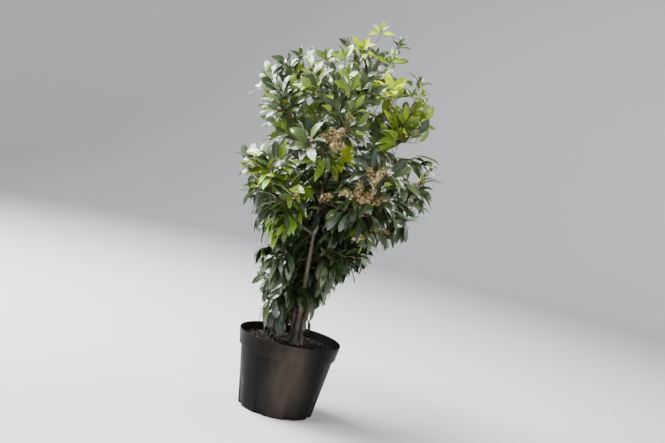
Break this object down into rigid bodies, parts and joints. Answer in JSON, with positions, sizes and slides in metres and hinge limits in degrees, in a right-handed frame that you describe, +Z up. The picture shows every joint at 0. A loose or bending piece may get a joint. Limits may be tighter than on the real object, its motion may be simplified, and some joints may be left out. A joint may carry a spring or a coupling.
{
  "type": "potted laurel shrub",
  "caption": "Bushy evergreen laurel shrub of several stems, with glossy pointed leaves and cream blossom spikes, in a round black nursery pot.",
  "frame": {"origin": "centre of the pot's flat underside", "axes": "+Z up along the plant, -Y towards the side seen first, +X to the right of that view"},
  "size_m": [0.6744, 0.6683, 1.1952],
  "materials": {
    "pot": "satin moulded",
    "soil": "loose potting mix of bark and peat",
    "bark": "fine greyish brown bark",
    "leaves": "glossy waxy leaf"
  },
  "bodies": {
    "root": {"pot": "pot", "soil": "soil", "trunk": "bark", "leader_bough": "bark", "stem_1_bough": "bark", "stem_2_bough": "bark", "stem_3_bough": "bark", "stem_4_bough": "bark", "stem_5_bough": "bark", "high_shoot_1_bough": "bark", "high_shoot_2_bough": "bark", "high_shoot_3_bough": "bark", "high_shoot_4_bough": "bark", "high_shoot_5_bough": "bark", "low_shoot_1_bough": "bark", "low_shoot_2_bough": "bark", "low_shoot_3_bough": "bark", "low_shoot_4_bough": "bark", "low_shoot_5_bough": "bark", "foot_shoot_bough": "bark", "leader_foliage": "leaves", "stem_1_foliage": "leaves", "stem_2_foliage": "leaves", "stem_3_foliage": "leaves", "stem_4_foliage": "leaves", "stem_5_foliage": "leaves", "high_shoot_1_foliage": "leaves", "high_shoot_2_foliage": "leaves", "high_shoot_3_foliage": "leaves", "high_shoot_4_foliage": "leaves", "high_shoot_5_foliage": "leaves", "low_shoot_1_foliage": "leaves", "low_shoot_2_foliage": "leaves", "low_shoot_3_foliage": "leaves", "low_shoot_4_foliage": "leaves", "low_shoot_5_foliage": "leaves", "foot_shoot_foliage": "leaves"}
  },
  "joints": []
}
